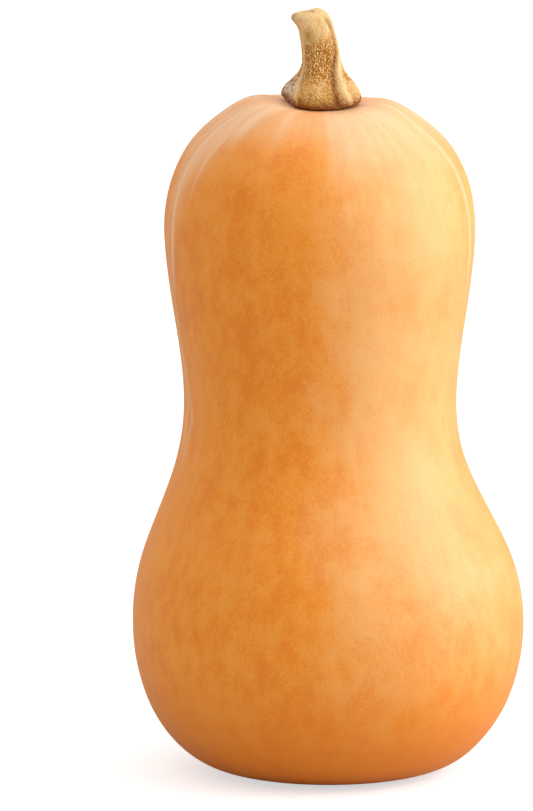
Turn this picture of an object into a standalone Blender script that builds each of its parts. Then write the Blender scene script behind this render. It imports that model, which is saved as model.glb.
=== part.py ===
"""Butternut squash: one whole fruit standing on its blossom end, with its dry stalk.

Units are metres and +Z is up.  The origin is on the ground under the middle of the
bulb, and +Z is the way the fruit grew: from the blossom end up to the stalk.

Both pieces start as a ball whose rings are moved to the sizes in a ring table, and a
Subdivision Surface modifier rounds the result.
"""

from math import acos, atan2, cos, hypot, pi, radians, sin

import bmesh
import bpy

MM = 0.001

# Fruit -----------------------------------------------------------------------------

FRUIT_SIDES = 30
# Height and radius of each ring in mm, from the blossom scar to the stalk seat.
FRUIT_RINGS = (
    (0.8, 4.0),
    (0.0, 8.0),  # inner edge of the flat seat it stands on
    (0.0, 12.0),
    (0.0, 16.0),
    (0.0, 20.0),
    (0.0, 24.0),  # outer edge of the flat seat
    (0.8, 36.5),
    (4.0, 45.0),
    (10.0, 52.5),
    (20.0, 60.0),
    (35.0, 65.5),
    (52.0, 67.0),  # widest part of the bulb
    (69.0, 64.5),
    (85.0, 57.5),
    (100.0, 50.0),
    (115.0, 46.0),
    (132.0, 46.0),  # waist
    (150.0, 48.5),
    (168.0, 51.5),
    (185.0, 53.0),  # widest part of the neck
    (200.0, 50.5),
    (213.0, 43.5),
    (221.5, 32.0),
    (226.0, 24.5),  # shoulder crest
    (226.0, 18.0),
    (225.0, 12.0),
    (224.6, 6.0),
)
SCAR_HEIGHT = 1.2 * MM
SEAT_HEIGHT = 224.5 * MM

# The neck stands a little to the -X side of the bulb.
NECK_SHIFT = -2.7 * MM
NECK_SHIFT_START = 60.0 * MM
NECK_SHIFT_END = 112.0 * MM

# The shoulders rise to the left and right of the stalk and lie lower before and behind it.
# Before the stalk they drop a little more.
SHOULDER_START = 203.0 * MM
SHOULDER_END = 224.0 * MM
SHOULDER_TILT = -0.03
SHOULDER_SADDLE = 0.8 * MM
SADDLE_RADIUS = 18.0 * MM
FRONT_DROP = 1.0 * MM
FRONT_DROP_REACH = 16.0 * MM

# Five broad, shallow lobes run the length of the fruit.
LOBES = 5
LOBE_DEPTH = 0.5 * MM
LOBE_TURN = radians(20.0)
LOBE_START = 15.0 * MM
LOBE_END = 45.0 * MM

# Stalk -----------------------------------------------------------------------------

STALK_SIDES = 20
STALK_GAP = 0.3 * MM
# Height above the fruit, radius, sideways lean (mm) and lobe depth (a share of the
# radius) of each ring, from the middle of the underside to the cut end.
STALK_RINGS = (
    (0.0, 5.0, 0.0, 0.0),
    (0.0, 9.3, 0.2, 0.05),
    (0.0, 12.1, 0.4, 0.09),  # edge of the foot, on the fruit
    (1.0, 13.3, 0.5, 0.11),
    (3.0, 12.9, 0.5, 0.12),
    (5.5, 11.8, 0.7, 0.12),
    (8.2, 9.7, 0.8, 0.11),
    (11.3, 7.3, 0.8, 0.10),
    (15.2, 6.25, 0.45, 0.08),
    (20.0, 6.0, -0.25, 0.07),
    (24.5, 5.9, -1.3, 0.06),  # narrowest part, under the lip
    (28.0, 6.4, -2.7, 0.06),
    (30.6, 6.5, -3.25, 0.05),
    (31.8, 4.4, -2.8, 0.0),
)
STALK_TIP = 32.2 * MM
STALK_TIP_LEAN = -1.8 * MM
# The lobes stand unevenly: further apart on the front, closer together behind.
STALK_LOBE_TURN = radians(31.0)
STALK_LOBE_SHIFT = radians(16.0)
STALK_SHIFT_TURN = radians(10.0)


def clear_scene():
    """Remove the objects that a new file starts with."""
    for thing in list(bpy.data.objects):
        bpy.data.objects.remove(thing, do_unlink=True)


def smooth_step(value, start, end):
    """Ease from 0 at start to 1 at end."""
    share = min(max((value - start) / (end - start), 0.0), 1.0)
    return share * share * (3.0 - 2.0 * share)


def new_material(name, colour, roughness):
    """Return a Principled material."""
    material = bpy.data.materials.new(name)
    material.use_nodes = True
    shader = material.node_tree.nodes["Principled BSDF"]
    shader.inputs["Base Color"].default_value = (*colour, 1.0)
    shader.inputs["Roughness"].default_value = roughness
    shader.inputs["Metallic"].default_value = 0.0
    material.diffuse_color = (*colour, 1.0)
    return material


def ringed_ball(sides, ring_count):
    """Return a unit ball with its poles on Z and this many rings between them."""
    ball = bmesh.new()
    bmesh.ops.create_uvsphere(ball, u_segments=sides, v_segments=ring_count + 1, radius=1.0)
    return ball


def ring_level(vert, ring_count):
    """Return 0 for the lower pole, 1 for the first ring, up to ring_count + 1."""
    polar_angle = acos(min(max(-vert.co.z, -1.0), 1.0))
    return round(polar_angle * (ring_count + 1) / pi)


def lobe_offset(angle, height):
    """Return how far the lobes push the fruit's skin out."""
    strength = smooth_step(height, LOBE_START, LOBE_END)
    return LOBE_DEPTH * strength * cos(LOBES * (angle - LOBE_TURN))


def neck_offset(height):
    """Return how far the fruit leans along X at this height."""
    return NECK_SHIFT * smooth_step(height, NECK_SHIFT_START, NECK_SHIFT_END)


def shoulder_lift(x, y, height):
    """Return how much higher or lower the shoulder is at this side of the stalk."""
    strength = smooth_step(height, SHOULDER_START, SHOULDER_END)
    reach = min(hypot(x, y) / SADDLE_RADIUS, 1.0)
    saddle = SHOULDER_SADDLE * reach * reach * cos(2.0 * atan2(y, x))
    drop = FRONT_DROP * smooth_step(-y, 0.0, FRONT_DROP_REACH)
    return strength * (SHOULDER_TILT * x + saddle - drop)


def fruit_point(angle, radius, height):
    """Return the place of one cage corner of the fruit."""
    bulged = radius + lobe_offset(angle, height) * min(radius / (20.0 * MM), 1.0)
    x = bulged * cos(angle)
    y = bulged * sin(angle)
    lifted = height + shoulder_lift(x, y, height)
    return (x + neck_offset(height), y, lifted)


def shape_fruit(ball):
    """Move the rings of the ball to the fruit's sizes."""
    count = len(FRUIT_RINGS)
    for vert in ball.verts:
        level = ring_level(vert, count)
        angle = atan2(vert.co.y, vert.co.x)
        if level == 0:
            vert.co = (0.0, 0.0, SCAR_HEIGHT)
        elif level > count:
            vert.co = (NECK_SHIFT, 0.0, SEAT_HEIGHT)
        else:
            height, radius = FRUIT_RINGS[level - 1]
            vert.co = fruit_point(angle, radius * MM, height * MM)


def seat_height(x, y):
    """Return the height of the fruit's skin under the stalk, from the stalk's axis."""
    reach = hypot(x, y)
    dish = (226.0 * MM - SEAT_HEIGHT) * smooth_step(reach, 6.0 * MM, 19.0 * MM)
    return SEAT_HEIGHT + dish + shoulder_lift(x, y, SEAT_HEIGHT)


def stalk_point(angle, ring):
    """Return the place of one cage corner of the stalk."""
    height, radius, lean, lobe = ring
    shift = STALK_LOBE_TURN + STALK_LOBE_SHIFT * cos(angle - STALK_SHIFT_TURN)
    lobed = radius * MM * (1.0 + lobe * cos(LOBES * (angle - shift)))
    x = lobed * cos(angle) + lean * MM
    y = lobed * sin(angle)
    foot = seat_height(x, y)
    level = SEAT_HEIGHT + (foot - SEAT_HEIGHT) * (1.0 - smooth_step(height, 3.0, 17.0))
    return (x + NECK_SHIFT, y, level + STALK_GAP + height * MM)


def shape_stalk(ball):
    """Move the rings of the ball to the stalk's sizes."""
    count = len(STALK_RINGS)
    for vert in ball.verts:
        level = ring_level(vert, count)
        angle = atan2(vert.co.y, vert.co.x)
        if level == 0:
            vert.co = (NECK_SHIFT, 0.0, SEAT_HEIGHT + STALK_GAP)
        elif level > count:
            vert.co = (NECK_SHIFT + STALK_TIP_LEAN, 0.0, SEAT_HEIGHT + STALK_GAP + STALK_TIP)
        else:
            vert.co = stalk_point(angle, STALK_RINGS[level - 1])


def add_piece(name, ball, material, collection):
    """Turn the shaped ball into a smooth, rounded object."""
    mesh = bpy.data.meshes.new(name)
    bmesh.ops.recalc_face_normals(ball, faces=ball.faces)
    ball.to_mesh(mesh)
    ball.free()
    mesh.materials.append(material)
    for face in mesh.polygons:
        face.use_smooth = True
    piece = bpy.data.objects.new(name, mesh)
    collection.objects.link(piece)
    rounding = piece.modifiers.new("Rounding", "SUBSURF")
    rounding.levels = 1
    rounding.render_levels = 1
    return piece


def build_fruit(collection):
    """Build the fruit: bulb, waist, neck and shoulders in one solid."""
    ball = ringed_ball(FRUIT_SIDES, len(FRUIT_RINGS))
    shape_fruit(ball)
    skin = new_material("skin", (0.78, 0.33, 0.08), 0.42)
    return add_piece("fruit", ball, skin, collection)


def build_stalk(collection):
    """Build the dry stalk, from its lobed foot to its cut end."""
    ball = ringed_ball(STALK_SIDES, len(STALK_RINGS))
    shape_stalk(ball)
    cork = new_material("stalk", (0.72, 0.55, 0.33), 0.85)
    return add_piece("stalk", ball, cork, collection)


def main():
    """Build the squash in a collection of its own."""
    clear_scene()
    collection = bpy.data.collections.new("butternut_squash")
    bpy.context.scene.collection.children.link(collection)
    build_fruit(collection)
    build_stalk(collection)


main()
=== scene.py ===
"""Looks of a whole butternut squash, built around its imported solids.

The fruit and its stalk are each modelled from a circle that is extruded ring by ring,
rounded by subdivision and then worked by small sculpting passes.  Their finishes are
procedural.  Rings, creases and the stalk's lean are given in millimetres.  Lengths are
in metres wherever nothing else is said.
"""

import logging
from dataclasses import dataclass, field
from enum import Enum
from math import cos, pi, radians, sin

import bpy
import numpy as np
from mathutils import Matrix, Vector, noise


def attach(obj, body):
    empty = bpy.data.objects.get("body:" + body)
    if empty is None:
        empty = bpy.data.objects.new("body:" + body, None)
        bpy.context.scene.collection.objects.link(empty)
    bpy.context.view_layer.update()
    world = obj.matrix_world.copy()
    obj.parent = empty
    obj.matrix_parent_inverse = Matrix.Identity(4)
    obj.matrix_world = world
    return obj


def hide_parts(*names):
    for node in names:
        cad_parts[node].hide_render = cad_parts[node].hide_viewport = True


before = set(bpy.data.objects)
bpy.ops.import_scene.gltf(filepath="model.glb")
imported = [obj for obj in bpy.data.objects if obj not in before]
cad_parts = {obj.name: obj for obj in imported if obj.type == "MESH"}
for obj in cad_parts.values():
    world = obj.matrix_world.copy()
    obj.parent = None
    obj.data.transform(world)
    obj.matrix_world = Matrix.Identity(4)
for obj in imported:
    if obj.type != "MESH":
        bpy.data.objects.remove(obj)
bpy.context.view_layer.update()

LOG = logging.getLogger("squash")
MM = 0.001
# A point nearer to the axis than this is the closed end of a cage.
POLE_RADIUS = 1e-6

Colour = tuple[float, float, float]
Place = tuple[float, float, float]
Span = tuple[float, float]
Points = np.ndarray


# --- Sizes ---------------------------------------------------------------------------


@dataclass(frozen=True)
class Ring:
    """One ring of a coarse cage, in millimetres.

    Args:
        height: how high the ring lies.
        radius: its mean radius.
        lean: how far it stands to the side, along X.
        lobe: depth of its five lobes, as a share of the radius.
    """

    height: float
    radius: float
    lean: float = 0.0
    lobe: float = 0.0


@dataclass(frozen=True)
class Crease:
    """A long, narrow fold that runs down the skin.

    Args:
        path: heights in millimetres, from the lower end up, each with its turn in degrees.
        width: its half width, in millimetres.
        rise: how far it stands out, or sinks in when negative, in millimetres.
        tint: how strongly it is coloured, from 0 to 1.
        fade: the length over which its lower end fades, in millimetres.
        top_fade: how far below and past its upper end it fades, in millimetres.
    """

    path: tuple[tuple[float, float], ...]
    width: float
    rise: float
    tint: float = 0.0
    fade: float = 10.0
    top_fade: Span = (3.0, 2.0)

    def share(self, angle: Points, radius: Points, height: Points) -> Points:
        """Return how strongly each point belongs to the fold.

        Args:
            angle: the points' angles round the piece.
            radius: their distances from its axis.
            height: their heights.

        Returns:
            One share for each point, from 0 to 1.
        """
        heights = [MM * place[0] for place in self.path]
        turns = [radians(place[1]) for place in self.path]
        aside = turn_between(angle, np.interp(height, heights, turns)) * radius
        below, past = self.top_fade
        fade = ease(height, heights[0], heights[0] + self.fade * MM)
        fade = fade * (1.0 - ease(height, heights[-1] - below * MM, heights[-1] + past * MM))
        return fade * np.exp(-((aside / (self.width * MM)) ** 2))


@dataclass(frozen=True)
class Knob:
    """A rounded push out of, or into, a surface.

    Args:
        centre: its middle, in metres.
        reach: the distance at which it fades out, in metres.
        rise: how far it stands out, or sinks in when negative, in metres.
    """

    centre: Place
    reach: float
    rise: float


# --- Number helpers ------------------------------------------------------------------


def ease(value: Points | float, start: float, end: float) -> Points:
    """Ease from 0 at start to 1 at end.

    Args:
        value: the number or numbers to ease.
        start: where the result leaves 0.
        end: where the result reaches 1.

    Returns:
        The eased share, from 0 to 1.
    """
    share = np.clip((np.asarray(value, float) - start) / (end - start), 0.0, 1.0)
    return share * share * (3.0 - 2.0 * share)


def turn_between(angle: Points, turn: Points | float) -> Points:
    """Return the signed angle from turn to angle, between -pi and pi."""
    return (angle - turn + pi) % (2.0 * pi) - pi


def bell(angle: Points, turn: float, width: float) -> Points:
    """Return a share that is 1 at a turn in degrees and falls off over width in radians."""
    return np.exp(-((turn_between(angle, radians(turn)) / width) ** 2))


def distance_from(places: Points, centre: Place) -> Points:
    """Return how far each point lies from a centre."""
    return np.linalg.norm(places - np.asarray(centre), axis=1)


def grain(points: Points, stretch: tuple[float, float, float], seed: float) -> Points:
    """Sample smooth noise at each point.

    Args:
        points: the places, one row each.
        stretch: the size of one lump along each axis.
        seed: moves the pattern, so that two passes differ.

    Returns:
        One value from about -1 to 1 for each point.
    """
    scaled = points / np.asarray(stretch) + seed
    return np.array([noise.noise(Vector(place)) for place in scaled])


def cells(points: Points, size: float) -> tuple[Points, Points]:
    """Measure a field of small rounded cells.

    Args:
        points: the places, one row each.
        size: the usual width of one cell.

    Returns:
        The distance to the nearest cell middle and the distance to the cell's border,
        both as shares of the cell size.
    """
    measured = [noise.voronoi(Vector(place / size))[0] for place in points]
    near = np.array([distances[0] for distances in measured])
    second = np.array([distances[1] for distances in measured])
    return near, second - near


# --- Shader helpers ------------------------------------------------------------------


class Signal:
    """A shader socket that carries a number and takes part in Python arithmetic."""

    def __init__(self, tree: bpy.types.NodeTree, socket: bpy.types.NodeSocket) -> None:
        """Wrap a socket.

        Args:
            tree: the node tree that the socket is in.
            socket: the output socket.
        """
        self.tree = tree
        self.socket = socket

    def _combine(self, operation: str, first: object, second: object) -> "Signal":
        """Add a Math node.

        Args:
            operation: the node's operation.
            first: a signal or a number.
            second: a signal or a number.

        Returns:
            The node's result.
        """
        node = self.tree.nodes.new("ShaderNodeMath")
        node.operation = operation
        for slot, value in enumerate((first, second)):
            if isinstance(value, Signal):
                self.tree.links.new(value.socket, node.inputs[slot])
            else:
                node.inputs[slot].default_value = float(value)
        return Signal(self.tree, node.outputs[0])

    def __add__(self, other: object) -> "Signal":
        """Return self + other."""
        return self._combine("ADD", self, other)

    __radd__ = __add__

    def __sub__(self, other: object) -> "Signal":
        """Return self - other."""
        return self._combine("SUBTRACT", self, other)

    def __rsub__(self, other: object) -> "Signal":
        """Return other - self."""
        return self._combine("SUBTRACT", other, self)

    def __mul__(self, other: object) -> "Signal":
        """Return self * other."""
        return self._combine("MULTIPLY", self, other)

    __rmul__ = __mul__


class Recipe:
    """A node tree that is filled in by name: a material's, or the surroundings'."""

    def __init__(self, owner: bpy.types.Material | bpy.types.World, shader: str) -> None:
        """Start on the owner's node tree.

        Args:
            owner: the material or world.
            shader: the name of the shader node that it starts with.
        """
        owner.use_nodes = True
        self.owner = owner
        self.tree = owner.node_tree
        self.shader = self.tree.nodes[shader]

    @classmethod
    def material(cls, name: str) -> "Recipe":
        """Start a new material with a Principled shader."""
        return cls(bpy.data.materials.new(name), "Principled BSDF")

    def node(
        self,
        kind: str,
        settings: dict[str, object] | None = None,
        inputs: dict[str | int, object] | None = None,
    ) -> bpy.types.Node:
        """Add a node, set it up and feed its sockets.

        Args:
            kind: the node's type.
            settings: its own settings; "stops" gives a colour ramp's positions and colours.
            inputs: values, sockets or signals, by socket name or number.

        Returns:
            The new node.
        """
        node = self.tree.nodes.new(kind)
        for key, value in (settings or {}).items():
            if key == "stops":
                self._set_stops(node.color_ramp, value)
            else:
                setattr(node, key, value)
        for key, value in (inputs or {}).items():
            self.feed(node.inputs[key], value)
        return node

    def _set_stops(self, ramp: bpy.types.ColorRamp, stops: list[tuple[float, Colour]]) -> None:
        """Give a colour ramp its stops.

        Args:
            ramp: the ramp.
            stops: the position and the colour of each stop.
        """
        while len(ramp.elements) < len(stops):
            ramp.elements.new(0.5)
        for element, (position, colour) in zip(ramp.elements, stops):
            element.position = position
            element.color = (*colour, 1.0)

    def feed(self, socket: bpy.types.NodeSocket, value: object) -> None:
        """Link or set a socket.

        Args:
            socket: the input socket.
            value: a signal, an output socket, a colour or a plain value.
        """
        if isinstance(value, Signal):
            self.tree.links.new(value.socket, socket)
        elif isinstance(value, bpy.types.NodeSocket):
            self.tree.links.new(value, socket)
        elif socket.type == "RGBA":
            socket.default_value = (*value, 1.0)
        else:
            socket.default_value = value

    def shade(self, inputs: dict[str, object]) -> None:
        """Feed the owner's shader.

        Args:
            inputs: values, sockets or signals by socket name.
        """
        for name, value in inputs.items():
            self.feed(self.shader.inputs[name], value)

    def signal(self, socket: bpy.types.NodeSocket) -> Signal:
        """Return the socket as a number that Python can reckon with."""
        return Signal(self.tree, socket)

    def attribute(self, name: str) -> Signal:
        """Return a value stored on the mesh's points."""
        node = self.node("ShaderNodeAttribute", {"attribute_name": name})
        return self.signal(node.outputs["Fac"])

    def noise(self, place: object, scale: float, detail: float = 2.0, rough: float = 0.5) -> Signal:
        """Return smooth noise.

        Args:
            place: the vector socket that it is sampled at.
            scale: lumps per unit of that vector.
            detail: how many finer layers are added.
            rough: how strong the finer layers are.

        Returns:
            The noise, from about 0.3 to 0.7 round its middle of 0.5.
        """
        node = self.node(
            "ShaderNodeTexNoise",
            inputs={"Vector": place, "Scale": scale, "Detail": detail, "Roughness": rough},
        )
        return self.signal(node.outputs["Fac"])

    def mask(self, value: Signal, start: float, end: float) -> Signal:
        """Ease from 0 to 1 as a signal goes from start to end.

        Args:
            value: the signal.
            start: where the result leaves 0.
            end: where the result reaches 1, above or below start.

        Returns:
            The eased signal.
        """
        node = self.node(
            "ShaderNodeMapRange",
            {"interpolation_type": "SMOOTHSTEP"},
            {"Value": value, "From Min": start, "From Max": end},
        )
        return self.signal(node.outputs["Result"])

    def mix(self, share: object, first: object, second: object) -> bpy.types.NodeSocket:
        """Blend two colours.

        A Mix node takes its colours at inputs 6 and 7 and gives their blend at output 2.

        Args:
            share: how much of the second colour shows.
            first: a colour or a colour socket.
            second: a colour or a colour socket.

        Returns:
            The blended colour's socket.
        """
        node = self.node(
            "ShaderNodeMix",
            {"data_type": "RGBA"},
            {0: share, 6: first, 7: second},
        )
        return node.outputs[2]

    def vector(self, operation: str, inputs: dict[int, object]) -> bpy.types.NodeSocket:
        """Return the vector result of a Vector Math node."""
        return self.node("ShaderNodeVectorMath", {"operation": operation}, inputs).outputs[0]

    def bump(self, height: Signal, distance: float, strength: float) -> bpy.types.NodeSocket:
        """Raise the surface's normal by a height signal.

        Args:
            height: the signal.
            distance: how high the relief is where the signal is 1, in metres.
            strength: how much of it shows, from 0 to 1.

        Returns:
            The normal's socket.
        """
        node = self.node(
            "ShaderNodeBump",
            inputs={"Height": height, "Distance": distance, "Strength": strength},
        )
        return node.outputs["Normal"]


# --- Finishes ------------------------------------------------------------------------


@dataclass(frozen=True)
class RindFinish:
    """Waxy orange rind: cream streaks at the shoulder, soft blotches lower down, with painted sheen
    on the side facing the lights, painted highlight lines along creases and painted shade towards
    the ground.

    Args:
        deep: the strongest orange, in the blotches.
        orange: the usual orange.
        tan: the paler orange between blotches.
        sheen_peach: the paler peach painted on the side that faces the lights, a painted sheen.
        cream: the pale streaks round the stalk, and the pale lines along the creases, which are
            partly painted highlights.
        low_shade: the deepest, darkest orange, painted shade towards the ground round the blossom
            end.
        scar: the corky blossom scar underneath.
        axis: where the stalk's axis stands along X.
        sheen_turn: where the middle of the painted sheen lies, towards the key light, in radians
            from +X.
        side_sheen_turn: where the painted sheen goes on, more weakly, towards the side light, in
            radians from +X.
        side_sheen_strength: how strong it still is there, from 0 to 1.
        bare_turn: where the shoulder has almost no cream, in radians from +X.
        flow_rise: how fast the streaks' pattern changes upwards, for each metre.
        low_shade_span: heights over which that painted shade sets in, downwards.
        sheen_span: heights over which the painted sheen sets in, upwards.
        streak_span: heights over which the cream streaks set in, upwards.
        crown_span: heights over which the even cream sets in, upwards.
        bare_span: heights over which the lack of cream sets in, downwards.
        scar_span: distances from the middle over which the scar sets in, inwards.
        under_span: heights over which the scar sets in, downwards.
        relief: depth of the pores and the fine grain.
    """

    deep: Colour = (0.84, 0.222, 0.005)
    orange: Colour = (0.89, 0.282, 0.011)
    tan: Colour = (0.91, 0.320, 0.034)
    sheen_peach: Colour = (0.91, 0.47, 0.165)
    cream: Colour = (0.96, 0.64, 0.40)
    low_shade: Colour = (0.78, 0.200, 0.003)
    scar: Colour = (0.16, 0.075, 0.03)
    axis: float = -2.7 * MM
    sheen_turn: float = radians(-50.0)
    side_sheen_turn: float = radians(-12.0)
    side_sheen_strength: float = 0.5
    bare_turn: float = radians(-114.0)
    flow_rise: float = 1.6
    low_shade_span: Span = (0.050, 0.004)
    sheen_span: Span = (0.005, 0.085)
    streak_span: Span = (0.196, 0.226)
    crown_span: Span = (0.200, 0.226)
    bare_span: Span = (0.223, 0.212)
    scar_span: Span = (0.0085, 0.0065)
    under_span: Span = (0.006, 0.003)
    relief: float = 0.00012

    def make(self) -> bpy.types.Material:
        """Build the material.

        Returns:
            The finished material.
        """
        recipe = Recipe.material("rind")
        place = recipe.node("ShaderNodeTexCoord").outputs["Object"]
        parts = recipe.node("ShaderNodeSeparateXYZ", inputs={0: place})
        height = recipe.signal(parts.outputs["Z"])
        flow = self._flow(recipe, parts)
        blotch = self._blotch(recipe, place, flow)
        colour = self._blend_rind(recipe, blotch)
        # Painted sheen: the skin that faces the key and side lights is made paler peach.
        pale = self._painted_sheen(recipe, flow, place, height) * (0.70 + 0.30 * blotch)
        colour = recipe.mix(pale, colour, self.sheen_peach)
        colour = self._add_streaks(recipe, colour, flow, height)
        # Painted shade: the rind turns a deeper, darker orange towards the ground.
        colour = recipe.mix(0.65 * recipe.mask(height, *self.low_shade_span), colour, self.low_shade)
        colour = self._add_scar(recipe, colour, parts)
        recipe.shade(
            {
                "Base Color": colour,
                "Roughness": 0.42 + 0.12 * blotch,
                "Specular IOR Level": 0.40,
                "Normal": self._pores(recipe, place, flow, blotch),
            }
        )
        return recipe.owner

    def _flow(self, recipe: Recipe, parts: bpy.types.Node) -> bpy.types.NodeSocket:
        """Make a vector whose pattern runs in long streaks from the stalk downwards.

        Args:
            recipe: the node tree.
            parts: the node that parts a place on the skin into X, Y and Z.

        Returns:
            The direction from the stalk's axis, with a slow change upwards in Z.
        """
        level = recipe.node(
            "ShaderNodeCombineXYZ",
            inputs={
                "X": recipe.signal(parts.outputs["X"]) - self.axis,
                "Y": parts.outputs["Y"],
                "Z": 0.0,
            },
        )
        outward = recipe.vector("NORMALIZE", {0: level.outputs[0]})
        rise = recipe.node(
            "ShaderNodeCombineXYZ",
            inputs={"X": 0.0, "Y": 0.0, "Z": recipe.signal(parts.outputs["Z"]) * self.flow_rise},
        )
        return recipe.vector("ADD", {0: outward, 1: rise.outputs[0]})

    def _blotch(self, recipe: Recipe, place: object, flow: object) -> Signal:
        """Mix the mottling from broad patches down to fine flecks.

        Args:
            recipe: the node tree.
            place: the place on the skin.
            flow: the vector that _flow makes.

        Returns:
            A signal from 0 in the deep blotches to 1 between them.
        """
        patches = recipe.noise(place, 30.0, 1.0)
        lumps = recipe.noise(place, 85.0, 1.0)
        stretched = recipe.node(
            "ShaderNodeMapping", inputs={"Vector": place, "Scale": (1.0, 1.0, 0.62)}
        ).outputs[0]
        spots = recipe.noise(stretched, 190.0, 3.0, 0.62)
        streaks = recipe.noise(flow, 6.0, 3.0, 0.5)
        flecks = recipe.noise(place, 1200.0, 2.0, 0.6)
        mixed = 0.18 * patches + 0.18 * lumps + 0.36 * spots + 0.14 * streaks
        return recipe.mask(mixed + 0.30 * flecks, 0.46, 0.69)

    def _blend_rind(self, recipe: Recipe, blotch: Signal) -> bpy.types.NodeSocket:
        """Colour the mottling.

        Args:
            recipe: the node tree.
            blotch: the mottling, from 0 to 1.

        Returns:
            The colour's socket.
        """
        ramp = recipe.node(
            "ShaderNodeValToRGB",
            {"stops": [(0.0, self.deep), (0.5, self.orange), (1.0, self.tan)]},
            {"Fac": blotch},
        )
        return ramp.outputs["Color"]

    def _painted_sheen(self, recipe: Recipe, flow: object, place: object, height: Signal) -> Signal:
        """Find the painted sheen: the side that faces the lights, made paler, soft edged and fading
        towards the ground.

        Args:
            recipe: the node tree.
            flow: the vector that _flow makes.
            place: the place on the skin.
            height: its height.

        Returns:
            A signal from 0 to 1, for how much painted sheen lies on the skin.
        """
        wander = recipe.noise(place, 45.0, 3.0, 0.6) - 0.5
        near = recipe.mask(self._facing(recipe, flow, self.sheen_turn) + 0.4 * wander, 0.64, 1.04)
        far = self._facing(recipe, flow, self.side_sheen_turn) + 0.4 * wander
        far = self.side_sheen_strength * recipe.mask(far, 0.78, 1.0)
        side = 1.0 - (1.0 - near) * (1.0 - far)
        return 0.95 * side * recipe.mask(height + 0.05 * wander, *self.sheen_span)

    def _facing(self, recipe: Recipe, flow: object, turn: float) -> Signal:
        """Measure how far the skin faces a direction.

        Args:
            recipe: the node tree.
            flow: the vector that _flow makes.
            turn: the direction, in radians from +X.

        Returns:
            A signal that is 1 where the skin faces it fully and -1 on the far side.
        """
        dot = recipe.node(
            "ShaderNodeVectorMath",
            {"operation": "DOT_PRODUCT"},
            {0: flow, 1: (cos(turn), sin(turn), 0.0)},
        )
        return recipe.signal(dot.outputs["Value"])

    def _add_streaks(
        self, recipe: Recipe, colour: object, flow: object, height: Signal
    ) -> bpy.types.NodeSocket:
        """Lay the cream that spreads from the stalk over the shoulder, and the pale lines along the
        creases, which are partly cream streaks and partly painted highlights.

        Args:
            recipe: the node tree.
            colour: the skin's colour so far.
            flow: the vector that _flow makes.
            height: the skin's height.

        Returns:
            The colour's socket.
        """
        streaks = recipe.mask(recipe.noise(flow, 5.5, 3.0, 0.55), 0.36, 0.70)
        shoulder = recipe.mask(height, *self.streak_span)
        crown = recipe.mask(height, *self.crown_span)
        bare = self._facing(recipe, flow, self.bare_turn) - 0.16 * streaks
        bare = recipe.mask(bare, 0.64, 0.94) * recipe.mask(height, *self.bare_span)
        share = (0.30 * streaks * shoulder + 0.36 * crown) * (1.0 - 0.8 * bare)
        colour = recipe.mix(share, colour, self.cream)
        # The creases' pale lines: partly cream streaks, partly painted highlight lines.
        return recipe.mix(recipe.attribute("pale"), colour, self.cream)

    def _add_scar(
        self, recipe: Recipe, colour: object, parts: bpy.types.Node
    ) -> bpy.types.NodeSocket:
        """Colour the corky blossom scar in the dimple underneath.

        Args:
            recipe: the node tree.
            colour: the skin's colour so far.
            parts: the node that parts a place on the skin into X, Y and Z.

        Returns:
            The colour's socket.
        """
        level = recipe.node(
            "ShaderNodeCombineXYZ",
            inputs={"X": parts.outputs["X"], "Y": parts.outputs["Y"], "Z": 0.0},
        )
        length = recipe.node(
            "ShaderNodeVectorMath", {"operation": "LENGTH"}, {0: level.outputs[0]}
        )
        reach = recipe.signal(length.outputs["Value"])
        wander = recipe.noise(level.outputs[0], 500.0, 3.0)
        inner = recipe.mask(reach + 0.006 * wander, *self.scar_span)
        under = recipe.mask(recipe.signal(parts.outputs["Z"]), *self.under_span)
        return recipe.mix(inner * under, colour, self.scar)

    def _pores(
        self, recipe: Recipe, place: object, flow: object, blotch: Signal
    ) -> bpy.types.NodeSocket:
        """Raise the fine relief of the rind: pores, grain and faint streaks.

        Args:
            recipe: the node tree.
            place: the place on the skin.
            flow: the vector that _flow makes.
            blotch: the mottling, from 0 to 1.

        Returns:
            The normal's socket.
        """
        pores = recipe.node(
            "ShaderNodeTexVoronoi", inputs={"Vector": place, "Scale": 620.0}
        )
        pits = recipe.mask(recipe.signal(pores.outputs["Distance"]), 0.05, 0.45)
        fine = recipe.noise(place, 1500.0, 2.0)
        long_grain = recipe.noise(flow, 26.0, 2.0)
        relief = 0.45 * pits + 0.35 * fine + 0.5 * long_grain + 0.5 * blotch
        return recipe.bump(relief, self.relief, 0.55)


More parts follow.
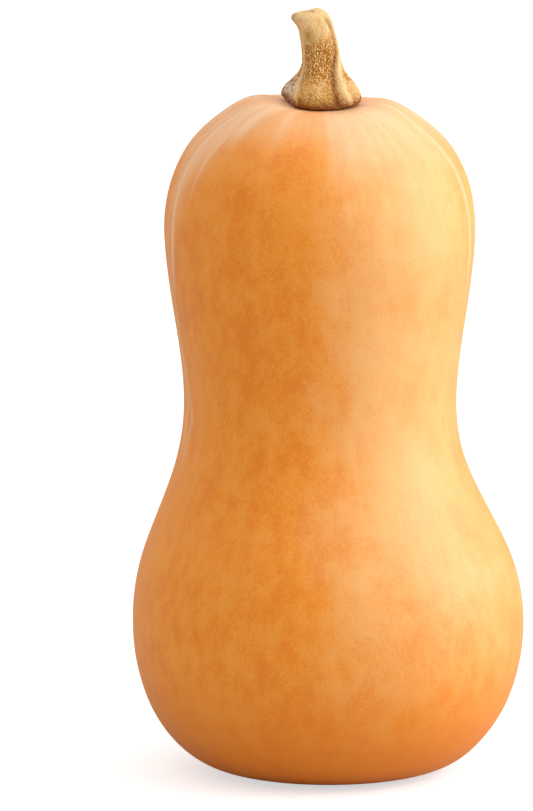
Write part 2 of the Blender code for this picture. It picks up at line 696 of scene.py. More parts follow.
@dataclass(frozen=True)
class StalkFinish:
    """Dry corky stalk: cream ridges and tip, a golden grainy band, a dark ragged foot.

    Args:
        cream: the pale, bare wood of the ridges and the tip.
        straw: the usual dry straw colour.
        gold: the corky skin of the grainy band.
        dot: the pale grains on it.
        dark: the brown in the pits, the grooves and along the foot.
        olive: the greenish tint low on the front and in the hollow, where it is partly painted
            shade.
        ash: the grey film on the left of the foot.
        bruise: the mottles in that film, and the rubbed knuckle beside the cut.
        relief: depth of the fibres and the fine grain.
    """

    cream: Colour = (0.88, 0.61, 0.29)
    straw: Colour = (0.62, 0.31, 0.050)
    gold: Colour = (0.53, 0.198, 0.008)
    dot: Colour = (0.96, 0.74, 0.36)
    dark: Colour = (0.22, 0.068, 0.003)
    olive: Colour = (0.40, 0.22, 0.010)
    ash: Colour = (0.84, 0.68, 0.54)
    bruise: Colour = (0.24, 0.11, 0.055)
    relief: float = 0.0002

    def make(self) -> bpy.types.Material:
        """Build the material.

        Returns:
            The finished material.
        """
        recipe = Recipe.material("dry_stalk")
        place = recipe.node("ShaderNodeTexCoord").outputs["Object"]
        long_place = recipe.node(
            "ShaderNodeMapping", inputs={"Vector": place, "Scale": (1.0, 1.0, 0.16)}
        ).outputs[0]
        fibre = recipe.noise(long_place, 1300.0, 3.0, 0.6)
        fleck = recipe.noise(place, 1500.0, 2.0, 0.6)
        patch = recipe.noise(place, 650.0, 2.0)
        colour = self._bark(recipe, fibre, fleck)
        colour = self._stains(recipe, colour, fibre, patch)
        speck = recipe.noise(long_place, 2600.0, 2.0)
        colour = recipe.mix(0.55 * recipe.mask(speck, 0.52, 0.66), colour, self.gold)
        ridge = 0.8 * recipe.attribute("ridge") * recipe.mask(fleck, 0.25, 0.45)
        colour = recipe.mix(ridge, colour, self.cream)
        colour = recipe.mix(recipe.attribute("dot"), colour, self.dot)
        colour = recipe.mix(recipe.attribute("pit"), colour, self.dark)
        colour = recipe.mix(
            recipe.attribute("groove") * recipe.mask(fleck, 0.2, 0.55), colour, self.dark
        )
        foot = recipe.attribute("foot") * recipe.mask(fleck, 0.2, 0.50)
        colour = recipe.mix(foot, colour, self.dark)
        recipe.shade(
            {
                "Base Color": colour,
                "Roughness": 0.62 + 0.2 * fleck,
                "Specular IOR Level": 0.4,
                "Normal": recipe.bump(0.4 * fibre + 0.6 * fleck, self.relief, 0.7),
            }
        )
        return recipe.owner

    def _bark(self, recipe: Recipe, fibre: Signal, fleck: Signal) -> bpy.types.NodeSocket:
        """Colour the bare wood and, in the band, the freckled cork over it.

        Args:
            recipe: the node tree.
            fibre: the long fibres, as noise.
            fleck: the fine flecks, as noise.

        Returns:
            The colour's socket.
        """
        pale = recipe.mask(fibre, 0.15, 0.60)
        wood = recipe.mix(pale, self.straw, self.cream)
        cork = recipe.mix(recipe.mask(fleck, 0.38, 0.66), self.gold, self.straw)
        return recipe.mix(recipe.attribute("band"), wood, cork)

    def _stains(
        self, recipe: Recipe, colour: object, fibre: Signal, patch: Signal
    ) -> bpy.types.NodeSocket:
        """Lay the brown fibres, the olive tint with its painted shade in the hollow, the grey film,
        the knuckle and the lobe's tip.

        Args:
            recipe: the node tree.
            colour: the bark's colour so far.
            fibre: the long fibres, as noise.
            patch: the broader patches, as noise.

        Returns:
            The colour's socket.
        """
        brown = 0.9 * recipe.attribute("brown") * recipe.mask(fibre, 0.36, 0.58)
        colour = recipe.mix(brown, colour, self.gold)
        # In the hollow under the tip the olive is partly painted shade.
        olive = 0.9 * recipe.attribute("olive_and_shade") * recipe.mask(fibre, 0.30, 0.62)
        colour = recipe.mix(olive, colour, self.olive)
        film = recipe.mix(recipe.mask(patch, 0.51, 0.61), self.ash, self.bruise)
        colour = recipe.mix(0.9 * recipe.attribute("ash"), colour, film)
        knuckle = 0.4 * recipe.attribute("knuckle") * recipe.mask(patch, 0.30, 0.60)
        colour = recipe.mix(knuckle, colour, self.bruise)
        tip = recipe.attribute("tip") * recipe.mask(patch, 0.35, 0.60)
        return recipe.mix(tip, colour, self.gold)


# --- Pieces --------------------------------------------------------------------------


class GrownPiece:
    """Shared steps of a piece that is modelled ring on ring and then sculpted.

    Args:
        name: the piece's name.
        node: the solid that it stands for.
        slot: that solid's material slot; not used.
        rings: its cage, from one end to the other.
        sides: corners of the cage round it.
        solid_sides: corners of the solid's cage.
        levels: how often the cage is subdivided.
    """

    name: str
    node: str
    slot: str
    rings: tuple[Ring, ...]
    sides: int
    solid_sides: int
    levels: int

    def fit(self) -> float:
        """Compare how far subdivision draws this cage and the solid's inwards.

        A ring of few sides is drawn further in than one of many.

        Returns:
            The factor that makes this cage round off to the solid's size.
        """
        return (2.0 + cos(2.0 * pi / self.solid_sides)) / (2.0 + cos(2.0 * pi / self.sides))

    def draw_cage(self) -> bpy.types.Object:
        """Extrude a circle through every ring and close both ends.

        Returns:
            The cage, as an object at the origin.
        """
        first = self.rings[0]
        bpy.ops.object.select_all(action="DESELECT")
        bpy.ops.mesh.primitive_circle_add(
            vertices=self.sides, radius=first.radius * MM, location=(0.0, 0.0, first.height * MM)
        )
        cage = bpy.context.object
        cage.name = self.name
        cage.data.name = self.name
        bpy.ops.object.transform_apply(location=True, rotation=False, scale=False)
        bpy.ops.object.mode_set(mode="EDIT")
        bpy.ops.mesh.select_mode(type="VERT")
        bpy.ops.mesh.select_all(action="SELECT")
        for lower, upper in zip(self.rings, self.rings[1:]):
            self._raise_ring(lower, upper)
        self._close_end()
        bpy.ops.mesh.select_all(action="DESELECT")
        bpy.ops.mesh.select_non_manifold()
        self._close_end()
        bpy.ops.mesh.select_all(action="SELECT")
        bpy.ops.mesh.normals_make_consistent(inside=False)
        bpy.ops.object.mode_set(mode="OBJECT")
        return cage

    def _raise_ring(self, lower: Ring, upper: Ring) -> None:
        """Extrude the selected ring to the next one's height and radius.

        Args:
            lower: the ring that is selected.
            upper: the next one.
        """
        rise = (upper.height - lower.height) * MM
        bpy.ops.mesh.extrude_region_move(TRANSFORM_OT_translate={"value": (0.0, 0.0, rise)})
        share = upper.radius / lower.radius
        bpy.ops.transform.resize(
            value=(share, share, 1.0), center_override=(0.0, 0.0, upper.height * MM)
        )

    def _close_end(self) -> None:
        """Draw the selected ring to one point."""
        bpy.ops.mesh.extrude_region_move(TRANSFORM_OT_translate={"value": (0.0, 0.0, 0.0)})
        bpy.ops.mesh.merge(type="CENTER")

    def round_off(self, piece: bpy.types.Object) -> None:
        """Apply a Subdivision Surface and shade the piece smooth.

        Args:
            piece: the cage, which becomes the rounded piece.
        """
        rounding = piece.modifiers.new("Rounding", "SUBSURF")
        rounding.levels = self.levels
        rounding.render_levels = self.levels
        bpy.ops.object.modifier_apply(modifier=rounding.name)
        bpy.ops.object.shade_smooth()

    def points(self, piece: bpy.types.Object) -> Points:
        """Return the places of the piece's points, one row each."""
        return self._read_rows(piece, "co")

    def normals(self, piece: bpy.types.Object) -> Points:
        """Return the outward direction at each point, one row each."""
        return self._read_rows(piece, "normal")

    def _read_rows(self, piece: bpy.types.Object, key: str) -> Points:
        """Read a vector from each of the piece's points.

        Args:
            piece: the object.
            key: what the points call it.

        Returns:
            One row for each point.
        """
        flat = np.empty(len(piece.data.vertices) * 3, np.float32)
        piece.data.vertices.foreach_get(key, flat)
        return flat.reshape(-1, 3).astype(float)

    def place_points(self, piece: bpy.types.Object, places: Points) -> None:
        """Move the piece's points."""
        piece.data.vertices.foreach_set("co", places.astype(np.float32).ravel())
        piece.data.update()

    def store(self, piece: bpy.types.Object, name: str, values: Points) -> None:
        """Keep one value at each point for the material to read.

        Args:
            piece: the object.
            name: the attribute's name.
            values: one number for each point.
        """
        attribute = piece.data.attributes.new(name, "FLOAT", "POINT")
        attribute.data.foreach_set("value", np.clip(values, 0.0, 1.0).astype(np.float32))

    def install(self, piece: bpy.types.Object, material: bpy.types.Material) -> None:
        """Dress the piece and let it stand for its solid.

        Args:
            piece: the finished object.
            material: its finish.
        """
        piece.data.materials.append(material)
        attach(piece, "root")
        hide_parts(self.node)
        LOG.info("%s: %d faces", piece.name, len(piece.data.polygons))


@dataclass
class Fruit(GrownPiece):
    """The fruit, from its blossom scar to its shoulders.

    Args:
        name: the piece's name.
        node: the solid that it stands for.
        slot: that solid's material slot; not used.
        sides: corners of the cage round the fruit.
        solid_sides: corners of the solid's cage.
        levels: how often the cage is subdivided.
        scar_height: height of the middle of the blossom dimple.
        waist_height: a height between the fruit's two ends.
        crown_height: a height between the waist and the seat of the stalk.
        rim_height: height of the skin round the stalk's foot.
        seat_height: height of the skin under the stalk.
        neck_shift: how far the neck stands to the side of the bulb.
        neck_span: heights over which the neck goes there.
        lobe_depth: depth of the five broad lobes.
        lobe_turn: where one lobe lies, in radians from +X.
        lobe_span: heights over which the lobes set in.
        lobe_reach: distance from the axis where they are full.
        tilt: rise of the shoulder for each metre along X.
        lift_span: heights over which the shoulder becomes uneven.
        saddle: how much higher the shoulder is beside the stalk than before it.
        saddle_radius: distance from the stalk's axis where the saddle is full.
        front_drop: how much lower the shoulder lies before the stalk.
        front_reach: distance before the stalk's axis where that drop is full.
        swell: relief of the broad swellings.
        dimple: relief of the smaller ones.
        flute: relief of the flutes, and what is added to it on the shoulder.
        thread: relief of the fine threads, and what is added to it on the shoulder.
        flute_length: the height over which flutes and threads change.
        flute_span: heights over which the shoulder's part is added.
        inset: how far the skin is drawn in, so that its relief stays in the solid's size.
        ground_span: heights over which the relief sets in above the ground.
        stalk_span: distances from the axis over which it sets in round the stalk.
        rings: the cage, from the blossom scar to the seat of the stalk.
        creases: the folds, and the pale lines along them, which are partly pale streaks and partly
            painted highlights.
        knobs: the small dents and bumps.
    """

    name: str = "rind"
    node: str = "fruit"
    slot: str = "skin"
    sides: int = 52
    solid_sides: int = 30
    levels: int = 3
    scar_height: float = 1.2 * MM
    waist_height: float = 0.115
    crown_height: float = 0.2
    rim_height: float = 226.0 * MM
    seat_height: float = 224.5 * MM
    neck_shift: float = -2.7 * MM
    neck_span: Span = (0.060, 0.112)
    lobe_depth: float = 0.5 * MM
    lobe_turn: float = radians(20.0)
    lobe_span: Span = (0.015, 0.045)
    lobe_reach: float = 0.020
    tilt: float = -0.03
    lift_span: Span = (0.203, 0.224)
    saddle: float = 0.8 * MM
    saddle_radius: float = 18.0 * MM
    front_drop: float = 1.0 * MM
    front_reach: float = 16.0 * MM
    swell: float = 0.00030
    dimple: float = 0.00012
    flute: Span = (0.00010, 0.00016)
    thread: Span = (0.00003, 0.00009)
    flute_length: float = 0.12
    flute_span: Span = (0.150, 0.215)
    inset: float = 0.00015
    ground_span: Span = (0.0008, 0.010)
    stalk_span: Span = (0.0125, 0.020)
    rings: tuple[Ring, ...] = (
        Ring(0.8, 4.0),
        Ring(0.0, 8.0),
        Ring(0.0, 12.0),
        Ring(0.0, 16.0),
        Ring(0.0, 20.0),
        Ring(0.0, 24.0),
        Ring(0.8, 36.5),
        Ring(4.0, 45.0),
        Ring(10.0, 52.5),
        Ring(20.0, 60.0),
        Ring(35.0, 65.5),
        Ring(52.0, 67.0),
        Ring(69.0, 64.5),
        Ring(85.0, 57.5),
        Ring(100.0, 50.0),
        Ring(115.0, 46.0),
        Ring(132.0, 46.0),
        Ring(150.0, 48.5),
        Ring(168.0, 51.5),
        Ring(185.0, 53.0),
        Ring(200.0, 50.5),
        Ring(213.0, 43.5),
        Ring(221.5, 32.0),
        Ring(226.0, 24.5),
        Ring(226.0, 18.0),
        Ring(225.0, 12.0),
        Ring(224.6, 6.0),
    )
    # Their tints paint pale lines: partly cream streaks, partly painted highlight lines.
    creases: tuple[Crease, ...] = (
        Crease(((157, 193), (181, 198), (210, 198), (226, 203)), 1.3, 0.35, 0.8, 20.0),
        Crease(
            ((100, 193), (113, 196), (118, 198), (122, 200), (126, 196), (139, 193), (149, 191),
             (165, 195)),
            1.1, 0.35, 0.4,
        ),
        Crease(((172, 193), (200, 198), (227, 208)), 6.0, 0.0, 0.50, 35.0),
        Crease(((190, 208), (212, 212), (227, 220)), 1.2, 0.10, 0.50, 20.0),
        Crease(((195, 187), (214, 190), (227, 197)), 1.0, 0.08, 0.45, 20.0),
        Crease(((105, 189), (150, 187), (200, 190), (226, 194)), 2.2, -0.20, 0.25),
        Crease(((212, 220), (222, 221), (227, 226)), 3.2, 0.15, 0.7),
        Crease(((150, 347), (180, 345), (205, 342), (219, 340), (227, 345)), 1.4, 0.35, 0.5, 35.0),
        Crease(((218, 319), (225, 314), (227, 310)), 1.6, 0.15, 0.8),
        Crease(((86, 286), (122, 284)), 1.6, -0.08),
    )
    knobs: tuple[Knob, ...] = (
        Knob((-0.0455, -0.006, 0.125), 0.008, -0.0007),
        Knob((-0.0460, -0.004, 0.117), 0.006, 0.0004),
    )

    def build(self) -> bpy.types.Object:
        """Model and dress the fruit.

        Returns:
            The finished object.
        """
        piece = self.draw_cage()
        self.place_points(piece, self.shape_cage(self.points(piece)))
        self.round_off(piece)
        self.place_points(piece, self.sculpt(self.points(piece), self.normals(piece)))
        self.paint(piece)
        self.install(piece, RindFinish().make())
        return piece

    def neck_offset(self, height: Points) -> Points:
        """Return how far the fruit stands to the side at each height."""
        return self.neck_shift * ease(height, *self.neck_span)

    def shoulder_lift(self, x: Points, y: Points, height: Points) -> Points:
        """Work out how uneven the shoulder is round the stalk.

        Args:
            x: distances from the stalk's axis, along X.
            y: distances from it, along Y.
            height: heights on the fruit.

        Returns:
            How much higher the skin lies at each point.
        """
        strength = ease(height, *self.lift_span)
        reach = np.minimum(np.hypot(x, y) / self.saddle_radius, 1.0)
        saddle = self.saddle * reach**2 * np.cos(2.0 * np.arctan2(y, x))
        drop = self.front_drop * ease(-y, 0.0, self.front_reach)
        return strength * (self.tilt * x + saddle - drop)

    def shape_cage(self, places: Points) -> Points:
        """Give the turned cage its lobes, its leaning neck and its uneven shoulder.

        Args:
            places: the cage's points.

        Returns:
            The points where they belong.
        """
        x, y, height = places.T
        angle = np.arctan2(y, x)
        radius = np.hypot(x, y) * self.fit()
        lobes = self.lobe_depth * ease(height, *self.lobe_span)
        lobes = lobes * np.cos(5.0 * (angle - self.lobe_turn))
        radius = radius + lobes * np.minimum(radius / self.lobe_reach, 1.0)
        x, y = radius * np.cos(angle), radius * np.sin(angle)
        at_pole = radius < POLE_RADIUS
        pole_height = np.where(height < self.waist_height, self.scar_height, self.seat_height)
        height = np.where(at_pole, pole_height, height)
        lifted = height + np.where(at_pole, 0.0, self.shoulder_lift(x, y, height))
        return np.stack([x + self.neck_offset(height), y, lifted], axis=1)

    def sculpt(self, places: Points, outward: Points) -> Points:
        """Work the rounded skin: soft lumps, flutes, creases and small dents.

        Args:
            places: the points of the skin.
            outward: the direction out of the skin at each of them.

        Returns:
            The moved points.
        """
        x, y, height = places.T
        axis_x = x - self.neck_offset(height)
        radius = np.hypot(axis_x, y)
        angle = np.arctan2(y, axis_x)
        push = self.swell * grain(places, (0.034, 0.034, 0.040), 3.1)
        push += self.dimple * grain(places, (0.012, 0.012, 0.017), 7.7)
        push += self.flutes(angle, height)
        for crease in self.creases:
            push += crease.rise * MM * crease.share(angle, radius, height)
        push += knob_push(places, self.knobs)
        off_ground = ease(height, *self.ground_span)
        clear_of_stalk = np.where(height > self.crown_height, ease(radius, *self.stalk_span), 1.0)
        push = (push - self.inset) * off_ground * clear_of_stalk
        return places + outward * push[:, None]

    def flutes(self, angle: Points, height: Points) -> Points:
        """Work out the flutes and fine threads that run down from the stalk.

        Args:
            angle: the points' angles round the fruit.
            height: their heights.

        Returns:
            How far they push each point out.
        """
        round_it = np.stack([np.cos(angle), np.sin(angle), height / self.flute_length], axis=1)
        shoulder = ease(height, *self.flute_span)
        flute = self.flute[0] + self.flute[1] * shoulder
        thread = self.thread[0] + self.thread[1] * shoulder
        push = flute * grain(round_it, (0.21, 0.21, 1.0), 1.3)
        return push + thread * grain(round_it, (0.07, 0.07, 0.8), 5.9)

    def paint(self, piece: bpy.types.Object) -> None:
        """Store how pale the skin is painted along each crease: partly pale streak, partly painted
        highlight.

        Args:
            piece: the sculpted fruit.
        """
        x, y, height = self.points(piece).T
        x = x - self.neck_offset(height)
        pale = np.zeros_like(height)
        for crease in self.creases:
            share = crease.share(np.arctan2(y, x), np.hypot(x, y), height)
            pale = np.maximum(pale, crease.tint * share)
        self.store(piece, "pale", pale)


def knob_push(places: Points, knobs: tuple[Knob, ...]) -> Points:
    """Return how far the knobs push each point out.

    Args:
        places: the points of a surface.
        knobs: the knobs on it.

    Returns:
        One distance for each point.
    """
    push = np.zeros(len(places))
    for knob in knobs:
        push += knob.rise * (1.0 - ease(distance_from(places, knob.centre), 0.0, knob.reach))
    return push


@dataclass(frozen=True)
class Bark:
    """What is measured at each point of the stalk before it is sculpted.

    Args:
        places: the points, one row each.
        angle: their angles round the leaning stalk.
        radius: their distances from its middle.
        rise: their heights over the skin.
        ridge: how strongly each belongs to a ridge.
        groove: how strongly it belongs to a groove.
        band: how far it belongs to the grainy band.
        near: how far it lies from the middle of its grain, as a share of a grain.
        border: how far it lies from its grain's border, as a share of a grain.
    """

    places: Points
    angle: Points
    radius: Points
    rise: Points
    ridge: Points
    groove: Points
    band: Points
    near: Points
    border: Points


@dataclass
class Stalk(GrownPiece):
    """The dry stalk, from its spreading foot to its old cut.

    Args:
        fruit: the fruit that it stands on.
        name: the piece's name.
        node: the solid that it stands for.
        slot: that solid's material slot; not used.
        sides: corners of the cage round the stalk.
        solid_sides: corners of the solid's cage.
        levels: how often the cage is subdivided.
        gap: clearance between the foot and the skin.
        half_height: a height between the stalk's two ends, over the skin.
        foot_span: heights over which the foot stops following the skin.
        dish_span: distances from the axis over which the skin rises to its rim.
        tip_height: height of the middle of the cut, over the skin.
        tip_lean: how far the middle of the cut stands to the side.
        lobe_turn: where one lobe would lie if they were even, in radians from +X.
        lobe_shift: how far the lobes are turned from their even places.
        shift_turn: where that turn is greatest.
        lean_path: heights over the skin in millimetres, each with how far the stalk leans.
        underside: how steeply the bark may face down, as the Z of its outward direction,
            from where it has no relief to where it has all of it.
        grain_size: width of one cork grain.
        grain_rise: relief of the grains.
        fibre_size: width and length of one fibre.
        fibre_rise: relief of the fibres.
        lump_rise: relief of the soft lumps.
        band_turn: where the band reaches highest, in radians from +X.
        band_slant: how much higher it reaches there.
        band_top: heights over the skin over which it ends.
        band_foot: heights over which it sets in.
        freckle_span: heights over which the sparser grains under it end.
        foot_dark: heights over which the dark of the foot ends.
        spot_span: distances from the middle of the cut's dark spot over which it ends.
        rings: the cage, from the middle of the underside to the cut.
        ridges: the pale ridges, their heights over the skin.
        grooves: the dark grooves between them.
        knobs: the hollow under the tip, then the lumps of the old cut.
        scar: the middle of the dark spot on the cut.
    """

    fruit: Fruit = field(default_factory=Fruit)
    name: str = "stalk_bark"
    node: str = "stalk"
    slot: str = "stalk"
    sides: int = 24
    solid_sides: int = 20
    levels: int = 4
    gap: float = 0.3 * MM
    half_height: float = 0.01
    foot_span: Span = (0.003, 0.017)
    dish_span: Span = (0.006, 0.019)
    tip_height: float = 31.9 * MM
    tip_lean: float = -1.8 * MM
    lobe_turn: float = radians(31.0)
    lobe_shift: float = radians(16.0)
    shift_turn: float = radians(10.0)
    lean_path: tuple[tuple[float, float], ...] = (
        (0, 0.4), (5, 0.7), (11, 0.8), (15, 0.5), (20, -0.25), (25, -1.4), (31, -3.2),
    )
    underside: Span = (-0.75, -0.35)
    grain_size: float = 0.00068
    grain_rise: float = 0.00055
    fibre_size: tuple[float, float] = (0.0007, 0.006)
    fibre_rise: float = 0.00005
    lump_rise: float = 0.00025
    band_turn: float = radians(-50.0)
    band_slant: float = 0.0022
    band_top: Span = (0.0190, 0.0235)
    band_foot: Span = (0.0055, 0.0100)
    freckle_span: Span = (0.004, 0.011)
    foot_dark: Span = (0.0014, 0.0042)
    spot_span: Span = (0.0002, 0.0015)
    rings: tuple[Ring, ...] = (
        Ring(0.0, 5.0, 0.0, 0.0),
        Ring(0.0, 9.3, 0.2, 0.05),
        Ring(0.0, 12.1, 0.4, 0.09),
        Ring(1.0, 13.3, 0.5, 0.11),
        Ring(3.0, 12.9, 0.5, 0.12),
        Ring(5.5, 11.8, 0.7, 0.12),
        Ring(8.2, 9.7, 0.8, 0.11),
        Ring(11.3, 7.3, 0.8, 0.10),
        Ring(15.2, 6.25, 0.45, 0.08),
        Ring(20.0, 6.0, -0.25, 0.07),
        Ring(24.5, 5.9, -1.3, 0.06),
        Ring(27.5, 6.3, -2.5, 0.06),
        Ring(29.2, 6.7, -3.2, 0.05),
        Ring(30.5, 5.9, -3.0, 0.03),
        Ring(31.2, 3.9, -2.6, 0.0),
    )
    ridges: tuple[Crease, ...] = (
        Crease(
            ((0, -128), (2, -131), (6, -134), (10, -152), (14, -165), (22, -165)),
            1.0, 0.35, 1.0, 1.0,
        ),
        Crease(
            ((0, -45), (2, -47), (6, -52), (11, -49), (14, -39), (18, -23), (22, -12), (31, -25)),
            1.3, 0.35, 0.95, 1.0,
        ),
        Crease(((0, 44), (12, 46), (24, 50)), 1.4, 0.30, 0.8, 1.0),
        Crease(((0, 102), (12, 104), (24, 104)), 1.4, 0.30, 0.8, 1.0),
        Crease(((0, 163), (12, 160), (24, 158)), 1.2, 0.25, 0.8, 1.0),
    )
    grooves: tuple[Crease, ...] = (
        Crease(
            ((0, -63), (6, -69), (11, -66), (14, -56), (18, -40), (22, -28), (25, -28), (31, -52)),
            1.0, -0.55, 0.75, 1.0,
        ),
        Crease(((0, 8), (12, 10), (22, 14)), 1.2, -0.35, 0.7, 1.0),
        Crease(((0, 74), (12, 76), (22, 78)), 1.2, -0.35, 0.7, 1.0),
        Crease(((0, 132), (12, 134), (22, 134)), 1.2, -0.35, 0.7, 1.0),
    )
    knobs: tuple[Knob, ...] = (
        Knob((-0.0066, -0.0054, 0.2485), 0.0040, -0.0004),
        Knob((-0.0117, -0.0010, 0.2540), 0.0040, 0.0005),
        Knob((-0.0100, -0.0010, 0.2503), 0.0035, -0.0004),
        Knob((-0.0082, -0.0010, 0.2562), 0.0040, -0.0007),
        Knob((-0.0034, 0.0022, 0.2562), 0.0036, 0.0005),
        Knob((-0.0016, -0.0030, 0.2556), 0.0022, -0.0006),
    )
    scar: Place = (-0.0056, -0.0016, 0.2564)

    def build(self) -> bpy.types.Object:
        """Model and dress the stalk.

        Returns:
            The finished object.
        """
        piece = self.draw_cage()
        self.place_points(piece, self.shape_cage(self.points(piece)))
        self.round_off(piece)
        self.sculpt(piece)
        self.install(piece, StalkFinish().make())
        return piece

    def seat(self, x: Points, y: Points) -> Points:
        """Work out how high the skin lies under the stalk.

        Args:
            x: distances from the stalk's axis, along X.
            y: distances from it, along Y.

        Returns:
            The skin's height at each point.
        """
        low = self.fruit.seat_height
        dish = (self.fruit.rim_height - low) * ease(np.hypot(x, y), *self.dish_span)
        return low + dish + self.fruit.shoulder_lift(x, y, np.full_like(x, low))

    def shape_cage(self, places: Points) -> Points:
        """Give the turned cage its lobes and lean, and stand it on the skin.

        Args:
            places: the cage's points.

        Returns:
            The points where they belong.
        """
        x, y, height = places.T
        angle = np.arctan2(y, x)
        radius = np.hypot(x, y) * self.fit()
        heights = np.array([ring.height * MM for ring in self.rings])
        radii = np.array([ring.radius * MM for ring in self.rings])
        away = np.abs(heights[None, :] - height[:, None])
        away = away + np.abs(radii[None, :] * self.fit() - radius[:, None])
        nearest = np.argmin(away, axis=1)
        lean = np.array([ring.lean * MM for ring in self.rings])[nearest]
        lobe = np.array([ring.lobe for ring in self.rings])[nearest]
        shift = self.lobe_turn + self.lobe_shift * np.cos(angle - self.shift_turn)
        radius = radius * (1.0 + lobe * np.cos(5.0 * (angle - shift)))
        x, y = radius * np.cos(angle) + lean, radius * np.sin(angle)
        low = self.fruit.seat_height
        foot = low + (self.seat(x, y) - low) * (1.0 - ease(height, *self.foot_span))
        at_pole = radius < POLE_RADIUS
        top = at_pole & (height > self.half_height)
        x = np.where(top, self.tip_lean, np.where(at_pole, 0.0, x))
        y = np.where(at_pole, 0.0, y)
        z = np.where(top, low + self.tip_height, np.where(at_pole, low, foot + height))
        return np.stack([x + self.fruit.neck_shift, y, z + self.gap], axis=1)

    def sculpt(self, piece: bpy.types.Object) -> None:
        """Work ridges, grooves, cork grains and the old cut, and store what they leave.

        Args:
            piece: the rounded stalk.
        """
        places = self.points(piece)
        outward = self.normals(piece)
        bark = self.study(places)
        push = self.relief(bark) * ease(outward[:, 2], *self.underside)
        self.place_points(piece, places + outward * push[:, None])
        masks = {**self.textures(bark), **self.stains(bark)}
        for name, values in masks.items():
            self.store(piece, name, values)

    def study(self, places: Points) -> Bark:
        """Measure where each point lies on the stalk and what it belongs to.

        Args:
            places: the points of the rounded stalk.

        Returns:
            The measures.
        """
        x, y, z = places.T
        rise = z - self.fruit.seat_height
        heights, leans = zip(*self.lean_path)
        x = x - self.fruit.neck_shift - np.interp(rise / MM, heights, leans) * MM
        angle = np.arctan2(y, x)
        radius = np.hypot(x, y)
        ridge = self.strongest(self.ridges, angle, radius, rise)
        groove = self.strongest(self.grooves, angle, radius, rise)
        band = self.band(places, angle, rise) * (1.0 - 0.85 * ridge)
        near, border = cells(places, self.grain_size)
        return Bark(places, angle, radius, rise, ridge, groove, band, near, border)

    def relief(self, bark: Bark) -> Points:
        """Work out the ridges, grooves, grains, fibres, lumps and knobs.

        Args:
            bark: the measures of the points.

        Returns:
            How far they push each point out.
        """
        lines = self.ridges + self.grooves
        push = sum(
            line.rise * MM * line.share(bark.angle, bark.radius, bark.rise) for line in lines
        )
        push = push + self.grain_rise * bark.band * (0.45 - bark.near)
        width, length = self.fibre_size
        along = np.stack(
            [bark.angle * bark.radius / width, bark.rise / length, np.zeros_like(bark.rise)],
            axis=1,
        )
        fibres = self.fibre_rise * grain(along, (1.0, 1.0, 1.0), 4.0)
        push = push + fibres * (1.0 - bark.band)
        push = push + self.lump_rise * grain(bark.places, (0.0035, 0.0035, 0.005), 9.0)
        return push + knob_push(bark.places, self.knobs)

    def textures(self, bark: Bark) -> dict[str, Points]:
        """Work out the masks of the ridges, the grooves, the grainy band and the dark foot.

        Args:
            bark: the measures of the points.

        Returns:
            One mask for each, by name.
        """
        x, y = bark.places[:, 0] - self.fruit.neck_shift, bark.places[:, 1]
        over_skin = bark.rise - self.seat(x, y) + self.fruit.seat_height
        ragged = over_skin + 0.0014 * grain(bark.places, (0.0011, 0.0011, 0.0016), 6.0)
        spot = 1.0 - ease(distance_from(bark.places, self.scar), *self.spot_span)
        return {
            "ridge": bark.ridge,
            "groove": np.maximum(bark.groove, 0.7 * spot),
            "band": bark.band,
            "dot": bark.band * ease(bark.near, 0.44, 0.20),
            "pit": 0.9 * bark.band * ease(bark.border, 0.15, 0.0),
            "foot": 1.0 - ease(ragged - 0.0025 * bark.groove, *self.foot_dark),
        }

    def strongest(
        self, lines: tuple[Crease, ...], angle: Points, radius: Points, rise: Points
    ) -> Points:
        """Return the strongest tint that any of the lines gives each point."""
        tints = [line.tint * line.share(angle, radius, rise) for line in lines]
        return np.max(tints, axis=0)

    def band(self, places: Points, angle: Points, rise: Points) -> Points:
        """Find the grainy cork round the middle, which goes on more sparsely below it.

        Args:
            places: the points of the bark.
            angle: their angles round the stalk.
            rise: their heights over the skin.

        Returns:
            How far each point belongs to it.
        """
        ragged = rise + 0.0016 * grain(places, (0.0022, 0.0022, 0.004), 2.0)
        slant = self.band_slant * np.cos(angle - self.band_turn)
        upper = 1.0 - ease(ragged - slant, *self.band_top)
        lower = ease(ragged, *self.band_foot)
        freckled = 0.65 * (1.0 - ease(ragged, *self.freckle_span))
        return np.maximum(upper * lower, freckled)

    def stains(self, bark: Bark) -> dict[str, Points]:
        """Work out the masks of the olive (partly painted shade in the hollow), brown, grey,
        bruised and golden patches.

        Args:
            bark: the measures of the points.

        Returns:
            One mask for each patch, by name.
        """
        angle, rise = bark.angle, bark.rise
        left = ease(-np.cos(turn_between(angle, radians(-8.0))), 0.60, 0.75)
        flank = np.maximum(bell(angle, -74.0, 0.22), bell(angle, -122.0, 0.16))
        low_front = bell(angle, -100.0, 0.65) * (1.0 - ease(rise, 0.002, 0.009))
        hollow, knuckle = (distance_from(bark.places, knob.centre) for knob in self.knobs[:2])
        return {
            # In the hollow under the tip the olive is partly painted shade.
            "olive_and_shade": np.maximum(low_front, 1.0 - ease(hollow, 0.0, 0.0036)),
            "brown": flank * (1.0 - ease(rise, 0.009, 0.016)),
            "ash": left * (1.0 - ease(rise, 0.007, 0.012)),
            "knuckle": 1.0 - ease(knuckle, 0.0010, 0.0045),
            "tip": bell(angle, -8.0, 0.45) * (1.0 - ease(rise, 0.002, 0.006)),
        }


# --- Studio --------------------------------------------------------------------------


class LightRole(Enum):
    """What a studio light is for."""

    KEY = "key"
    SIDE = "side"


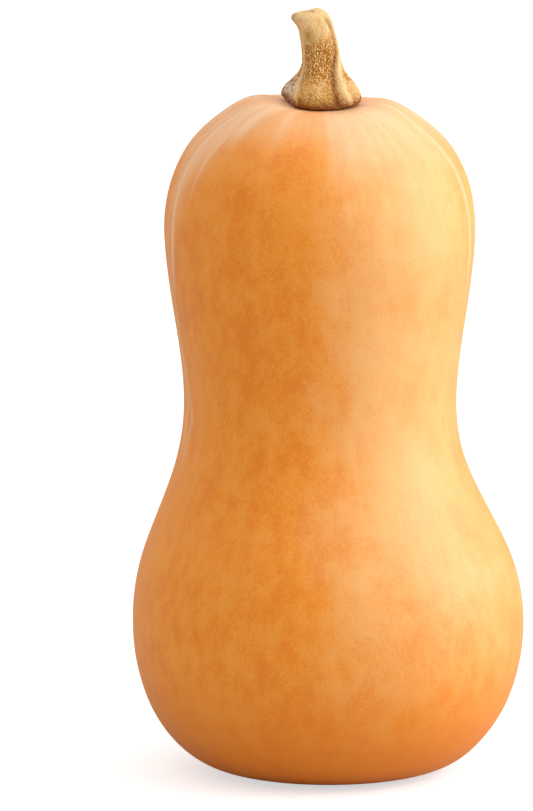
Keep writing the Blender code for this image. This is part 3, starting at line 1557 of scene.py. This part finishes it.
@dataclass(frozen=True)
class SoftLight:
    """One rectangular soft light.

    Args:
        role: what it is for.
        place: its middle, in metres.
        aim: the point it faces.
        size: its width and height, in metres.
        power: its power, in watts.
        colour: its tint.
    """

    role: LightRole
    place: Place
    aim: Place
    size: tuple[float, float]
    power: float
    colour: Colour = (1.0, 1.0, 1.0)

    def add(self) -> bpy.types.Object:
        """Add the light to the scene.

        Returns:
            The light's object.
        """
        bpy.ops.object.light_add(type="AREA", location=self.place)
        lamp = bpy.context.object
        lamp.name = f"{self.role.value}_light"
        lamp.data.shape = "RECTANGLE"
        lamp.data.size, lamp.data.size_y = self.size
        lamp.data.energy = self.power
        lamp.data.color = self.colour
        towards = Vector(self.aim) - Vector(self.place)
        lamp.rotation_euler = towards.to_track_quat("-Z", "Y").to_euler()
        return lamp


@dataclass
class Studio:
    """Pale floor, soft lights and the camera.

    Args:
        front_light: brightness of the white surroundings on the viewer's side.
        back_light: how much brighter they are behind the fruit.
        top_light: how much brighter they are overhead.
        floor_size: the floor's width.
        floor_tone: its grey.
        floor_glow: how much whiter the floor looks than the light it gives back.
        camera_distance: from the camera to the point it faces.
        camera_rise: how far the camera looks down, in radians.
        camera_aim: the point it faces.
        view_height: height of the picture at that point.
        sensor: the camera's sensor width, in millimetres.
        lights: the soft lights.
    """

    front_light: float = 0.66
    back_light: float = 0.05
    top_light: float = 0.39
    floor_size: float = 40.0
    floor_tone: Colour = (0.62, 0.62, 0.62)
    floor_glow: float = 0.60
    camera_distance: float = 3.0
    camera_rise: float = radians(9.5)
    camera_aim: Place = (-0.0207, 0.0, 0.1233)
    view_height: float = 0.2712
    sensor: float = 36.0
    lights: tuple[SoftLight, ...] = (
        SoftLight(LightRole.KEY, (1.0, -0.40, 0.65), (0.0, 0.0, 0.13), (0.7, 0.8), 5.5),
        SoftLight(LightRole.SIDE, (1.1, 0.10, 0.50), (0.0, 0.0, 0.13), (0.8, 0.9), 7.5),
    )

    def build(self) -> None:
        """Set up the surroundings, floor, lights and camera."""
        self._surround()
        self._lay_floor()
        for light in self.lights:
            light.add()
        self._place_camera()
        bpy.context.scene.view_settings.view_transform = "Standard"
        LOG.info("studio: %d lights", len(self.lights))

    def _surround(self) -> None:
        """Surround the scene with white that is brighter overhead and a little behind."""
        world = bpy.data.worlds.new("white_studio")
        bpy.context.scene.world = world
        recipe = Recipe(world, "Background")
        towards = recipe.node("ShaderNodeTexCoord").outputs["Generated"]
        parts = recipe.node("ShaderNodeSeparateXYZ", inputs={0: towards})
        behind = recipe.mask(recipe.signal(parts.outputs["Y"]), -0.2, 0.8)
        above = recipe.mask(recipe.signal(parts.outputs["Z"]), 0.2, 1.0)
        strength = self.front_light + self.back_light * behind + self.top_light * above
        recipe.shade({"Color": (1.0, 1.0, 1.0), "Strength": strength})

    def _lay_floor(self) -> None:
        """Lay a wide pale floor."""
        bpy.ops.object.select_all(action="DESELECT")
        bpy.ops.mesh.primitive_plane_add(size=self.floor_size, location=(0.0, 0.0, 0.0))
        floor = bpy.context.object
        floor.name = "floor"
        recipe = Recipe.material("pale_floor")
        seen = recipe.signal(recipe.node("ShaderNodeLightPath").outputs["Is Camera Ray"])
        recipe.shade(
            {
                "Base Color": self.floor_tone,
                "Roughness": 0.9,
                "Specular IOR Level": 0.1,
                "Emission Color": (1.0, 1.0, 1.0),
                "Emission Strength": self.floor_glow * seen,
            }
        )
        floor.data.materials.append(recipe.owner)

    def _place_camera(self) -> None:
        """Place the camera a little above the fruit, so that it looks slightly down."""
        back = Vector((0.0, -cos(self.camera_rise), sin(self.camera_rise)))
        place = Vector(self.camera_aim) + back * self.camera_distance
        bpy.ops.object.camera_add(location=place)
        camera = bpy.context.object
        camera.name = "camera"
        camera.rotation_euler = (pi / 2.0 - self.camera_rise, 0.0, 0.0)
        camera.data.sensor_width = self.sensor
        camera.data.lens = self.sensor * self.camera_distance / self.view_height
        camera.data.clip_end = 100.0
        bpy.context.scene.camera = camera


def main() -> None:
    """Build every piece, then the studio."""
    logging.basicConfig(level=logging.INFO, format="%(name)s %(message)s")
    fruit = Fruit()
    fruit.build()
    Stalk(fruit=fruit).build()
    Studio().build()


if __name__ == "__main__":
    main()
